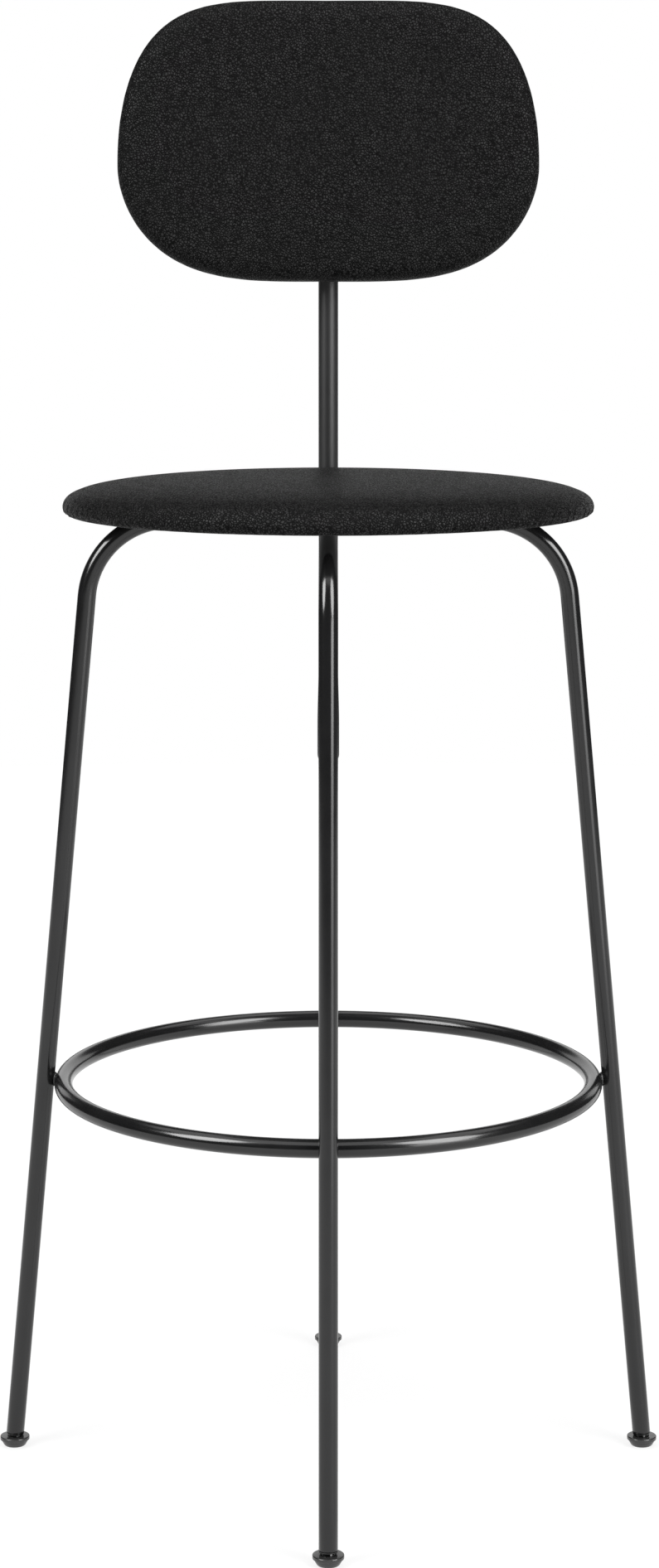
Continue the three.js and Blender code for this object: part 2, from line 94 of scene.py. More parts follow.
# ---------------------------------------------------------------- materials
class Nodes:
    """A material with a Principled shader, and short ways to add nodes to it."""

    def __init__(self, name, color, roughness, metallic=0.0, **sockets):
        self.material = bpy.data.materials.new(name)
        self.material.use_nodes = True
        self.tree = self.material.node_tree
        self.shader = self.tree.nodes["Principled BSDF"]
        self.set(self.shader, {"Base Color": (*color, 1), "Roughness": roughness, "Metallic": metallic})
        self.set(self.shader, sockets)
        self.position = self.add("ShaderNodeTexCoord").outputs["Object"]

    @staticmethod
    def set(node, sockets):
        for socket, value in sockets.items():
            node.inputs[socket].default_value = value

    def add(self, kind, **settings):
        node = self.tree.nodes.new(kind)
        for key, value in settings.items():
            setattr(node, key, value)
        return node

    def link(self, output, socket):
        self.tree.links.new(output, socket)

    def noise(self, scale, detail=2.0, coordinates=None):
        node = self.add("ShaderNodeTexNoise")
        self.set(node, {"Scale": scale, "Detail": detail})
        self.link(coordinates or self.position, node.inputs["Vector"])
        return node.outputs["Fac"]

    def cells(self, scale, feature, coordinates):
        node = self.add("ShaderNodeTexVoronoi", feature=feature)
        self.set(node, {"Scale": scale})
        self.link(coordinates, node.inputs["Vector"])
        return node.outputs["Distance"]

    def ramp(self, value, *stops):
        node = self.add("ShaderNodeValToRGB")
        ramp = node.color_ramp
        while len(ramp.elements) < len(stops):
            ramp.elements.new(0.5)
        for element, (place, color) in zip(ramp.elements, stops):
            element.position = place
            element.color = (*color, 1) if isinstance(color, tuple) else (color, color, color, 1)
        self.link(value, node.inputs["Fac"])
        return node.outputs["Color"]

    def range(self, value, low, high, to_low, to_high):
        node = self.add("ShaderNodeMapRange")
        self.set(node, {"From Min": low, "From Max": high, "To Min": to_low, "To Max": to_high})
        self.link(value, node.inputs["Value"])
        return node.outputs["Result"]

    def mix(self, factor, first, second):
        node = self.add("ShaderNodeMix", data_type="RGBA")
        for socket, value in zip((node.inputs[0], node.inputs[6], node.inputs[7]), (factor, first, second)):
            if isinstance(value, bpy.types.NodeSocket):
                self.link(value, socket)
            else:
                socket.default_value = value if isinstance(value, float) else (*value, 1)
        return node.outputs[2]

    def maths(self, operation, first, second):
        node = self.add("ShaderNodeMath", operation=operation)
        for socket, value in zip(node.inputs, (first, second)):
            if isinstance(value, bpy.types.NodeSocket):
                self.link(value, socket)
            else:
                socket.default_value = value
        return node.outputs[0]

    def bump(self, height, distance, strength=1.0, under=None):
        node = self.add("ShaderNodeBump")
        self.set(node, {"Distance": distance, "Strength": strength})
        self.link(height, node.inputs["Height"])
        if under:
            self.link(under, node.inputs["Normal"])
        return node.outputs["Normal"]

    def into(self, socket, value):
        self.link(value, self.shader.inputs[socket])


def painted_steel(name, roughness):
    """Black powder coat: fine orange peel, and patches that are a little duller."""
    m = Nodes(name, (0.006, 0.006, 0.0062), roughness, **{"IOR": 1.5})
    patches = m.noise(22, 3)
    m.into("Base Color", m.ramp(patches, (0.3, (0.005, 0.005, 0.0052)), (0.7, (0.0075, 0.0075, 0.0077))))
    m.into("Roughness", m.range(m.noise(60, 4), 0.3, 0.7, roughness - 0.02, roughness + 0.02))
    m.into("Normal", m.bump(m.noise(900, 1), 0.00002, 0.05))
    return m.material


def weld_paint():
    """The same coat over a weld bead, which keeps the bead's ripples."""
    m = Nodes("weld_paint", (0.015, 0.015, 0.0155), 0.33, **{"IOR": 1.5})
    m.into("Roughness", m.range(m.noise(400, 3), 0.3, 0.7, 0.27, 0.42))
    m.into("Normal", m.bump(m.noise(1100, 3), 0.00022, 0.7))
    return m.material


def leather():
    """Black pebbled leather: rounded pebbles about 2 mm across, creases between them, and fine pores. The
    base colour paints shade into the creases and highlights onto the pebble tops.
    The pebbles' grid is warped so that no two are alike."""
    m = Nodes("leather", (0.005, 0.005, 0.005), 0.42, **{"IOR": 1.48, "Specular IOR Level": 0.07})
    warp_reach = 0.003
    warp = m.add("ShaderNodeTexNoise")
    m.set(warp, {"Scale": 170.0, "Detail": 2.0})
    m.link(m.position, warp.inputs["Vector"])
    centred = m.add("ShaderNodeVectorMath", operation="SUBTRACT")
    m.link(warp.outputs["Color"], centred.inputs[0])
    centred.inputs[1].default_value = (0.5, 0.5, 0.5)
    moved = m.add("ShaderNodeVectorMath", operation="MULTIPLY_ADD")
    m.link(centred.outputs[0], moved.inputs[0])
    moved.inputs[1].default_value = (warp_reach, warp_reach, warp_reach)
    m.link(m.position, moved.inputs[2])
    crease = m.cells(500, "DISTANCE_TO_EDGE", moved.outputs[0])
    pebble = m.range(crease, 0.0, 0.27, 0.0, 1.0)
    pebble.node.interpolation_type = "SMOOTHSTEP"
    pores = m.noise(2600, 2)
    patches = m.range(m.noise(150, 2), 0.35, 0.65, 0.75, 1.0)
    height = m.maths("MULTIPLY", pebble, patches)
    # Painted light: the base colour runs from near black in the creases, as painted shade, to lighter on the
    # pebble tops, as painted highlights.
    tone = m.ramp(height, (0.0, 0.0002), (0.45, 0.003), (1.0, 0.0225))
    m.into("Base Color", m.mix(m.range(m.noise(9, 2), 0.3, 0.7, 0.0, 0.15), tone, (0.003, 0.003, 0.003)))
    m.into("Roughness", m.range(m.maths("ADD", pebble, pores), 0.2, 1.6, 0.66, 0.36))
    fine = m.bump(pores, 0.00006, 0.3)
    m.into("Normal", m.bump(height, 0.0006, 0.85, under=fine))
    return m.material


def nylon(name, tone, gloss):
    """Moulded black nylon: a soft sheen and a faint mould texture."""
    m = Nodes(name, (tone, tone, tone), gloss, **{"IOR": 1.6})
    m.into("Base Color", m.ramp(m.noise(180, 3), (0.3, tone * 0.85), (0.7, tone * 1.15)))
    m.into("Roughness", m.range(m.noise(350, 3), 0.3, 0.7, gloss * 0.85, gloss * 1.2))
    m.into("Normal", m.bump(m.noise(1500, 2), 0.00003, 0.3))
    return m.material


def plated_steel():
    """Zinc plate: bright grey with cloudy patches and fine scratches."""
    m = Nodes("plated_steel", (0.5, 0.51, 0.52), 0.35, 1.0)
    clouds = m.noise(240, 4)
    m.into("Base Color", m.ramp(clouds, (0.3, (0.38, 0.39, 0.41)), (0.7, (0.6, 0.6, 0.58))))
    m.into("Roughness", m.range(clouds, 0.3, 0.7, 0.25, 0.48))
    m.into("Normal", m.bump(m.noise(2200, 2), 0.00003, 0.5))
    return m.material


def plywood():
    """Birch plywood: layers through the thickness, grain along the face."""
    m = Nodes("plywood", (0.55, 0.36, 0.18), 0.62)
    stretch = m.add("ShaderNodeMapping")
    m.set(stretch, {"Scale": (1.0, 12.0, 12.0)})
    m.link(m.position, stretch.inputs["Vector"])
    grain = m.noise(28, 6, stretch.outputs["Vector"])
    bands = m.add("ShaderNodeTexWave", wave_type="BANDS", bands_direction="Z")
    m.set(bands, {"Scale": 210.0, "Distortion": 1.5, "Detail": 2.0})
    m.link(m.position, bands.inputs["Vector"])
    wood = m.ramp(grain, (0.3, (0.36, 0.21, 0.09)), (0.7, (0.62, 0.42, 0.22)))
    m.into("Base Color", m.mix(m.range(bands.outputs["Fac"], 0.2, 0.8, 0.0, 0.4), wood, (0.3, 0.17, 0.08)))
    m.into("Normal", m.bump(grain, 0.0001, 0.5))
    return m.material


def lining_cloth():
    """Grey non-woven lining: matted fibres."""
    m = Nodes("lining_cloth", (0.22, 0.22, 0.22), 0.95, **{"Sheen Weight": 0.15, "Sheen Roughness": 0.5})
    fibres = m.noise(1400, 6)
    m.into("Base Color", m.ramp(fibres, (0.35, 0.15), (0.7, 0.3)))
    m.into("Normal", m.bump(fibres, 0.0003, 0.8))
    return m.material


MATERIALS = {
    "frame_paint": painted_steel("painted_steel", 0.17),
    "post_paint": painted_steel("post_paint", 0.45),
    "weld": weld_paint(),
    "leather": leather(),
    "nylon": nylon("nylon", 0.014, 0.2),
    # The ball and collar are black nylon, made darker than the glide disc as painted shade in the gap under
    # the tube's end.
    "ball": nylon("ball_nylon_painted_shade", 0.003, 0.15),
    "fixings": plated_steel(),
    "plywood": plywood(),
    "lining": lining_cloth(),
}


# ---------------------------------------------------------------- mesh helpers
def make(name, vertices, faces, slot, body="frame", replaces=(), record_slot=None):
    """A smooth mesh piece with a material, on its body, standing for the CAD nodes it replaces."""
    mesh = bpy.data.meshes.new(name)
    mesh.from_pydata([tuple(v) for v in vertices], [], faces)
    mesh.validate()
    bm = bmesh.new()
    bm.from_mesh(mesh)
    bmesh.ops.remove_doubles(bm, verts=bm.verts, dist=1e-7)
    bmesh.ops.recalc_face_normals(bm, faces=bm.faces)
    bm.to_mesh(mesh)
    bm.free()
    piece = bpy.data.objects.new(name, mesh)
    bpy.context.scene.collection.objects.link(piece)
    return finish_piece(piece, slot, body, replaces, record_slot)


def finish_piece(piece, slot, body="frame", replaces=(), record_slot=None):
    piece.data.materials.clear()
    piece.data.materials.append(MATERIALS[slot])
    piece.data.set_sharp_from_angle(angle=math.radians(38))
    record_slot or slot
    if replaces:
        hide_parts(*replaces)
    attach(piece, body)
    return piece


def grid_faces(rows, columns, wrap_rows=False):
    """Quads between rows of points, each row a closed loop of columns."""
    last = rows if wrap_rows else rows - 1
    return [
        (r * columns + c, r * columns + (c + 1) % columns,
         (r + 1) % rows * columns + (c + 1) % columns, (r + 1) % rows * columns + c)
        for r in range(last)
        for c in range(columns)
    ]


def lathe(profile, sides, matrix=Matrix.Identity(4)):
    """Vertices and faces of a solid of revolution about Z. Profile points are (radius, z)."""
    vertices = [
        matrix @ Vector((r * math.cos(a), r * math.sin(a), z))
        for r, z in profile
        for a in (2 * math.pi * i / sides for i in range(sides))
    ]
    return vertices, grid_faces(len(profile), sides)


def ring(profile, sides, matrix=Matrix.Identity(4)):
    """As lathe, for a profile that closes on itself."""
    vertices, _ = lathe(profile, sides, matrix)
    return vertices, grid_faces(len(profile), sides, wrap_rows=True)


def sweep(path, section, sides, across=Vector((0, 1, 0))):
    """A tube along a path in one plane, whose normal is across. section(i) gives the half-sizes across
    the plane and in it."""
    vertices = []
    for i, point in enumerate(path):
        along = (path[min(i + 1, len(path) - 1)] - path[max(i - 1, 0)]).normalized()
        inward = along.cross(across)
        half_across, half_in = section(i)
        for k in range(sides):
            a = 2 * math.pi * k / sides
            vertices.append(point + across * half_across * math.cos(a) + inward * half_in * math.sin(a))
    return vertices, grid_faces(len(path), sides)


def joined(*meshes):
    """Several (vertices, faces) as one."""
    vertices, faces = [], []
    for v, f in meshes:
        faces += [tuple(i + len(vertices) for i in face) for face in f]
        vertices += v
    return vertices, faces


def placed(mesh, matrix):
    return [matrix @ v for v in mesh[0]], mesh[1]


def turned(mesh, angle):
    return placed(mesh, Matrix.Rotation(angle, 4, "Z"))


def arc(start, end, steps):
    """Angles from start to end in degrees, as radians."""
    return [math.radians(start + (end - start) * i / steps) for i in range(steps + 1)]


def fillet(centre_r, centre_z, radius, start, end, steps=5):
    """Profile points round a fillet."""
    return [
        (centre_r + radius * math.cos(a), centre_z + radius * math.sin(a))
        for a in arc(start, end, steps)
    ]


# ---------------------------------------------------------------- legs, hub and welds
def along_leg(distance):
    """The point on a leg's axis at a distance up from the glide's ball."""
    return Vector((BALL_X - distance * math.sin(LEAN), 0, BALL_Z + distance * math.cos(LEAN)))


LEG_END_GAP = 3.7 * MM  # from the ball's centre up to the tube's cut end
TUBE_SIDES = 48


def leg_path():
    lower_end = along_leg(LEG_END_GAP)
    bend_z = LEG_TOP_Z - LEG_BEND_R
    bend_centre = Vector((FOOT_X - math.tan(LEAN) * bend_z - LEG_BEND_R / math.cos(LEAN), 0, bend_z))
    bend = [
        bend_centre + LEG_BEND_R * Vector((math.cos(a), 0, math.sin(a)))
        for a in arc(math.degrees(LEAN), 90, 36)
    ]
    straight = [lower_end.lerp(bend[0], i / 24) for i in range(24)]
    level = [Vector((bend[-1].x + (HUB_R * 0.97 - bend[-1].x) * i / 4, 0, LEG_TOP_Z)) for i in range(1, 5)]
    return straight + bend + level


def leg_mesh():
    path = leg_path()
    body = sweep(path, lambda i: (TUBE_R, TUBE_R), TUBE_SIDES)
    # The cut end is eased on its edge and turns in to the wall's inside.
    into = (path[1] - path[0]).normalized()
    ease = 0.5 * MM
    bore_r = TUBE_R - TUBE_WALL
    steps = [(bore_r, 6 * MM), (bore_r, ease), (bore_r + ease, 0), (TUBE_R - ease, 0),
             (TUBE_R - ease * 0.3, ease * 0.3), (TUBE_R, ease)]
    lip_path = [path[0] + into * up for _, up in steps]
    across = Vector((0, 1, 0))
    inward = into.cross(across)
    lip = [
        point + (across * math.cos(a) + inward * math.sin(a)) * radius
        for point, (radius, _) in zip(lip_path, steps)
        for a in (2 * math.pi * k / TUBE_SIDES for k in range(TUBE_SIDES))
    ]
    body[0][:TUBE_SIDES] = lip[-TUBE_SIDES:]
    return joined((lip, grid_faces(len(steps), TUBE_SIDES)), body)


def bead(centre, axis, radius, thickness, sides, ripple):
    """A weld bead: a ring round a joint, with the small ripples of the torch."""
    place = Matrix.Translation(centre) @ axis.to_track_quat("Z", "Y").to_matrix().to_4x4()
    around = 10
    vertices = []
    for k in range(sides):
        a = 2 * math.pi * k / sides
        size = thickness * (1 + ripple * math.sin(sides / 2.5 * a) + 0.3 * ripple * math.sin(5 * a + 1))
        for j in range(around):
            b = 2 * math.pi * j / around
            r = radius + size * math.cos(b)
            vertices.append(place @ Vector((r * math.cos(a), r * math.sin(a), size * math.sin(b))))
    return vertices, grid_faces(sides, around, wrap_rows=True)


def on_each_side(mesh):
    """The mesh at all four legs, as one."""
    return joined(*[turned(mesh, angle) for angle in SIDES.values()])


def make_legs():
    leg = leg_mesh()
    for side, angle in SIDES.items():
        make(f"leg_tube_{side}", *turned(leg, angle), "frame_paint", replaces=[f"leg_{side}"])
    half = size_of("leg_hub").z / 2
    chamfer = 1 * MM
    profile = [(0, -half), (HUB_R - chamfer, -half), (HUB_R, -half + chamfer), (HUB_R, half - chamfer),
               (HUB_R - chamfer, half), (0, half)]
    place = Matrix.Translation(middle_of("leg_hub"))
    make("hub", *lathe(profile, 48, place), "frame_paint", replaces=["leg_hub"])
    touch = Vector((HUB_R + 0.2 * MM, 0, LEG_TOP_Z))
    weld = bead(touch, Vector((1, 0, 0)), TUBE_R + 0.3 * MM, 1.2 * MM, 48, 0.12)
    make("hub_welds", *on_each_side(weld), "weld", record_slot="frame_paint")


# ---------------------------------------------------------------- footrest
def make_footrest():
    section = fillet(RING_R, RING_Z, TUBE_R, 0, 360, 40)[:-1]
    make("footrest_hoop", *ring(section, 192), "frame_paint", replaces=["footrest_ring"])
    touch = Vector((RING_R + TUBE_R + 0.15 * MM, 0, RING_Z))
    weld = bead(touch, Vector((1, 0, math.tan(LEAN) / 2)), 4.3 * MM, 1.15 * MM, 48, 0.14)
    make("footrest_welds", *on_each_side(weld), "weld", record_slot="frame_paint")


# ---------------------------------------------------------------- post
# The tube is round above the first level and fully pressed below the second.
PRESS_START_Z, PRESS_END_Z = 0.600, 0.545
PRESSED_ACROSS, PRESSED_IN = 9.0 * MM, 6.4 * MM
POST_SIDES = 48


def smoothstep(value, low, high):
    t = min(max((value - low) / (high - low), 0), 1)
    return t * t * (3 - 2 * t)


def post_rows():
    """Rows of (z, y, half-size in x, half-size in y) up the post."""
    tip = [PRESSED_ACROSS * (1 - math.cos(a)) for a in arc(4, 90, 14)]
    heights = [POST_TIP_Z + t for t in tip]
    heights += [heights[-1] + (PRESS_START_Z - heights[-1]) * i / 30 for i in range(1, 31)]
    heights += [PRESS_START_Z + (POST_TOP_Z - PRESS_START_Z) * i / 20 for i in range(1, 21)]
    for z in heights:
        share = smoothstep(z, PRESS_END_Z, PRESS_START_Z)
        below = min(max(1 - (z - POST_TIP_Z) / PRESSED_ACROSS, 0), 1)
        tip_scale = math.sqrt(max(1 - below ** 2, 0))
        leg_face = FOOT_X - math.tan(LEAN) * z + TUBE_R / math.cos(LEAN)
        y = (leg_face + 0.3 * MM + PRESSED_IN) * (1 - share) + POST_Y * share
        half_x = PRESSED_ACROSS * (1 - share) + POST_R * share
        half_y = PRESSED_IN * (1 - share) + POST_R * share
        yield z, y, half_x * tip_scale, half_y * math.sqrt(tip_scale)


def make_post():
    vertices = [
        Vector((half_x * math.cos(a), y + half_y * math.sin(a), z))
        for z, y, half_x, half_y in post_rows()
        for a in (2 * math.pi * k / POST_SIDES for k in range(POST_SIDES))
    ]
    base = len(vertices) - POST_SIDES
    faces = grid_faces(len(vertices) // POST_SIDES, POST_SIDES) + [tuple(range(POST_SIDES - 1, -1, -1))]
    # The open top turns in over the wall's thickness and down the bore.
    inner = [v.lerp(Vector((0, POST_Y, v.z)), TUBE_WALL / POST_R) for v in vertices[base:]]
    deep = [v - Vector((0, 0, 10 * MM)) for v in inner]
    faces += [tuple(i + base for i in face) for face in grid_faces(3, POST_SIDES)]
    make("post_tube", vertices + inner + deep, faces, "post_paint", replaces=["backrest_post"],
         record_slot="frame_paint")
    make_post_cap()
    make_post_welds()


def make_post_cap():
    low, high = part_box("post_cap")
    seat_z = POST_TOP_Z + 0.2 * MM
    plug_r = POST_R - TUBE_WALL - 0.3 * MM
    dome = fillet(POST_R - 1.6 * MM, high.z - 1.8 * MM, 1.6 * MM, 0, 80)
    profile = [(0, low.z), (plug_r - 1 * MM, low.z), (plug_r, low.z + 2 * MM), (plug_r, seat_z),
               (POST_R - 0.3 * MM, seat_z), (POST_R, seat_z + 0.3 * MM), *dome, (3 * MM, high.z),
               (0, high.z)]
    place = Matrix.Translation((0, POST_Y, 0))
    make("post_end_cap", *lathe(profile, 40, place), "nylon", replaces=["post_cap"])


def make_post_welds():
    """The stay between leg and post with its beads, and the beads down the pressed end."""
    low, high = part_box("post_stay")
    stay_r = size_of("post_stay").z / 2
    turn = Matrix.Translation((0, low.y, STAY_Z)) @ Matrix.Rotation(-math.pi / 2, 4, "X")
    reach = high.y - low.y
    stay = lathe([(stay_r, 0), (stay_r, reach)], 36, turn)
    make("post_stay_bar", *stay, "frame_paint", replaces=["post_stay"])
    stay_welds = [
        bead(Vector((0, y, STAY_Z)), Vector((0, 1, 0)), stay_r + 0.3 * MM, 1.1 * MM, 40, 0.12)
        for y in (low.y + 2.3 * MM, POST_Y - POST_R + 0.1 * MM)
    ]
    seams = [side_seam(sign) for sign in (-1, 1)]
    make("post_welds", *joined(*stay_welds, *seams), "weld", record_slot="frame_paint")


def side_seam(sign):
    """A bead in the groove between the rear leg and one side of the post's pressed end."""
    count = 24
    path, sizes = [], []
    for i in range(count + 1):
        z = POST_TIP_Z + (8 + 22 * i / count) * MM
        leg_axis = FOOT_X - math.tan(LEAN) * z
        path.append(Vector((sign * 3.6 * MM, leg_axis + TUBE_R - 0.1 * MM, z)))
        end = min(i, count - i) / 3
        sizes.append(1.5 * MM * min(1, math.sqrt(end)) * (1 + 0.1 * math.sin(i * 2.1)) + 0.02 * MM)
    return sweep(path, lambda i: (sizes[i], sizes[i]), 10, Vector((1, 0, 0)))


# ---------------------------------------------------------------- glides
def make_glides():
    height = size_of("glide_right").z
    rim_r = size_of("glide_right").y / 2
    mouth_r, ball_r = 5.56 * MM, 5.4 * MM
    bowl = [(0, 0.35 * MM), (4.6 * MM, 0.35 * MM), (5 * MM, 0), (6.6 * MM, 0)]
    bowl += fillet(6.6 * MM, 2.6 * MM, 2.6 * MM, -75, -20, 5)
    bowl += [(9.75 * MM, 2.9 * MM), (10.2 * MM, 4.0 * MM), (10.35 * MM, 4.7 * MM)]
    rim = [(10.8 * MM, 5.0 * MM), *fillet(rim_r - 0.5 * MM, 5.5 * MM, 0.5 * MM, -70, 0, 3),
           *fillet(rim_r - 0.7 * MM, height - 0.7 * MM, 0.7 * MM, 0, 90, 5)]
    socket = [(mouth_r + 0.4 * MM, height), (mouth_r, height - 0.4 * MM), (mouth_r, height - 2.5 * MM),
              (mouth_r - 2 * MM, height - 5 * MM), (0, height - 6 * MM)]
    glide = lathe(bowl + rim + socket, 64, Matrix.Translation((BALL_X, 0, 0)))
    leg_turn = Matrix.Translation((BALL_X, 0, BALL_Z)) @ Matrix.Rotation(-LEAN, 4, "Y")
    ball = [(ball_r * math.cos(a), ball_r * math.sin(a)) for a in arc(-90, 22, 14)]
    collar_r = 6.8 * MM
    plug_r, plug_top = 4.8 * MM, 23 * MM
    collar = [(5.2 * MM, 2.45 * MM), *fillet(collar_r - 0.3 * MM, 2.8 * MM, 0.3 * MM, -90, 0, 3),
              (collar_r, 3.4 * MM), (plug_r, 3.4 * MM), (plug_r, 20 * MM), (3.8 * MM, plug_top),
              (0, plug_top)]
    plug = lathe(ball + collar, 48, leg_turn)
    for side, angle in SIDES.items():
        make(f"glide_disc_{side}", *turned(glide, angle), "nylon", f"foot_{side}", [f"glide_{side}"])
        # The ball and collar take the darker nylon, which paints the shade in the gap under the tube's end.
        make(f"glide_ball_{side}", *turned(plug, angle), "ball", "frame", [f"glide_plug_{side}"], "nylon")


# ---------------------------------------------------------------- seat
SEAT_LIP_R = 1.5 * MM
SEAT_SIDE_BULGE, SEAT_CROWN_BULGE = 3.2, 3.6
CLOTH_FRAMES = 20
CLOTH_PRESSURE = 2.5


def seat_outline(inset, crown_drop, steps):
    """The pad's outside from the middle of its underside, over the rim, to the middle of its crown."""
    rim_z = SEAT_BOTTOM_Z + SEAT_LIP_R
    lip_r = SEAT_R - 16 * MM
    under_z = LINING_Z + 0.6 * MM
    underside = [(0, under_z), (HEM_R * 0.5, under_z), (HEM_R + 1 * MM, under_z)]
    lip = [(lip_r + (SEAT_R - inset - lip_r) * math.sqrt(math.sin(a)), rim_z - SEAT_LIP_R * math.cos(a))
           for a in arc(0, 80, 10)]
    rise = SEAT_TOP_Z - rim_z - crown_drop
    top = [((SEAT_R - inset) * max(math.cos(a), 0) ** (2 / SEAT_SIDE_BULGE),
            rim_z + rise * math.sin(a) ** (2 / SEAT_CROWN_BULGE))
           for a in arc(0, 90, steps)]
    return underside + lip + top


def remeshed(name, mesh, voxel):
    """The closed mesh in even faces of about one voxel, with the voxels' steps smoothed out."""
    data = bpy.data.meshes.new(name)
    data.from_pydata([tuple(v) for v in mesh[0]], [], mesh[1])
    bm = bmesh.new()
    bm.from_mesh(data)
    bmesh.ops.remove_doubles(bm, verts=bm.verts, dist=1e-6)
    bmesh.ops.recalc_face_normals(bm, faces=bm.faces)
    bm.to_mesh(data)
    bm.free()
    piece = bpy.data.objects.new(name, data)
    bpy.context.scene.collection.objects.link(piece)
    remesh = piece.modifiers.new("remesh", "REMESH")
    remesh.mode = "VOXEL"
    remesh.voxel_size = voxel
    smooth = piece.modifiers.new("smooth", "SMOOTH")
    smooth.factor, smooth.iterations = 0.5, 6
    apply_modifiers(piece)
    return piece


def apply_modifiers(piece):
    graph = bpy.context.evaluated_depsgraph_get()
    baked = bpy.data.meshes.new_from_object(piece.evaluated_get(graph))
    piece.modifiers.clear()
    piece.data = baked


def points_of(piece):
    points = np.empty(len(piece.data.vertices) * 3)
    piece.data.vertices.foreach_get("co", points)
    return points.reshape(-1, 3)


def set_points(piece, points):
    piece.data.vertices.foreach_set("co", points.ravel())
    piece.data.update()


def inflate(piece, held, cap):
    """Blows the pad up as cloth. Points in held stay, and no point moves more than cap."""
    before = points_of(piece)
    group = piece.vertex_groups.new(name="held")
    group.add([int(i) for i in np.nonzero(held)[0]], 1.0, "REPLACE")
    cloth = piece.modifiers.new("cloth", "CLOTH")
    cloth.settings.vertex_group_mass = "held"
    cloth.settings.use_pressure = True
    cloth.settings.uniform_pressure_force = CLOTH_PRESSURE
    cloth.settings.effector_weights.gravity = 0
    cloth.settings.quality = 6
    cloth.settings.tension_stiffness = 18
    cloth.settings.compression_stiffness = 18
    cloth.settings.bending_stiffness = 6
    scene = bpy.context.scene
    for step in range(1, CLOTH_FRAMES + 1):
        scene.frame_set(step)
    apply_modifiers(piece)
    scene.frame_set(1)
    moved = points_of(piece) - before
    length = np.linalg.norm(moved, axis=1, keepdims=True)
    set_points(piece, before + moved * np.minimum(1, cap / np.maximum(length, 1e-9)))
    piece.vertex_groups.clear()


def settle(piece, form, share):
    """Draws the piece's points most of the way back to the form that it was cut and sewn to."""
    tree = BVHTree.FromPolygons([Vector(v) for v in form[0]], form[1])
    points = points_of(piece)
    for i, point in enumerate(points):
        nearest = tree.find_nearest(Vector(point))[0]
        points[i] += (np.array(nearest) - point) * share
    set_points(piece, points)


def fit_to(piece, low, high):
    """Scales the piece to fill a box."""
    points = points_of(piece)
    now_low, now_high = points.min(0), points.max(0)
    low, high = np.array(low), np.array(high)
    set_points(piece, low + (points - now_low) * (high - low) / (now_high - now_low))


def subdivided(piece):
    piece.modifiers.new("subdivision", "SUBSURF").render_levels = 1
    piece.modifiers["subdivision"].levels = 1
    apply_modifiers(piece)


def make_seat():
    slack = lathe(seat_outline(0.6 * MM, 1.6 * MM, 40), 180)
    form = lathe(seat_outline(0, 0, 60), 240)
    pad = remeshed("seat_pad", slack, 4.5 * MM)
    points = points_of(pad)
    radius = np.hypot(points[:, 0], points[:, 1])
    held = (points[:, 2] < SEAT_BOTTOM_Z + 4 * MM) & (radius < SEAT_R - 8 * MM)
    inflate(pad, held, 3 * MM)
    settle(pad, form, 0.85)
    subdivided(pad)
    settle(pad, form, 0.7)
    fit_to(pad, *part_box("seat_cover"))
    finish_piece(pad, "leather", replaces=["seat_cover", "seat_foam"])
    make_seat_underside()


STAPLES = 36


def make_seat_underside():
    """The lining with its puckered edge, and the staples that hold it over the leather's hem."""
    rows, columns, thickness = 14, 144, 0.4 * MM
    shares = [(r + 1) / rows for r in range(rows)]
    vertices = []
    for share, lift in [(share, 0) for share in shares] + [(share, thickness) for share in reversed(shares)]:
        for c in range(columns):
            a = 2 * math.pi * c / columns
            way = Vector((math.cos(a), math.sin(a), 0))
            pucker = 0.12 * MM * share ** 6 * math.sin(STAPLES * a)
            sag = 0.1 * MM * abs(noise.noise((way * share) * 4))
            vertices.append(way * HEM_R * share + Vector((0, 0, LINING_Z + (pucker - sag) + lift)))
    faces = grid_faces(2 * rows, columns)
    faces += [tuple(range(columns)), tuple(range(len(vertices) - columns, len(vertices)))]
    make("seat_lining_cloth", vertices, faces, "lining", replaces=["seat_lining"])
    crown = [Vector((HEM_R - 5 * MM, y * MM, LINING_Z + z * MM))
             for y, z in ((-4.5, 0.5), (-4.4, 0.0), (-4.0, -0.1), (4.0, -0.1), (4.4, 0.0), (4.5, 0.5))]
    staple = sweep(crown, lambda i: (0.45 * MM, 0.25 * MM), 8, Vector((1, 0, 0)))
    places = [2 * math.pi * (i + 0.5) / STAPLES for i in range(STAPLES)]
    make("seat_staples", *joined(*[turned(staple, a) for a in places]), "fixings")


# ---------------------------------------------------------------- fixings
def screw_mesh(shank_r, head_r, length):
    """A button-head screw up Z: its head's underside is at 0 and its shank runs up."""
    dome_r = head_r * 0.62
    crown = math.radians(28)
    dome = [(head_r * math.sin(a), -dome_r * math.cos(a)) for a in arc(28, 84, 8)]
    top = -dome_r * math.cos(crown)
    head = [(head_r, -0.25 * MM), (head_r - 0.2 * MM, 0), (shank_r, 0)]
    threads = []
    pitch = 1 * MM
    for i in range(int((length - 8 * MM) / pitch)):
        z = length - 1 * MM - i * pitch
        threads = [(shank_r - 0.45 * MM, z - pitch * 0.5), (shank_r, z)] + threads
    tip = [(shank_r - 0.6 * MM, length), (0, length)]
    outside = lathe(dome + head + threads + tip, 32)
    return joined(outside, hex_recess(head_r * 0.4, top, head_r * 0.42, head_r * math.sin(crown)))


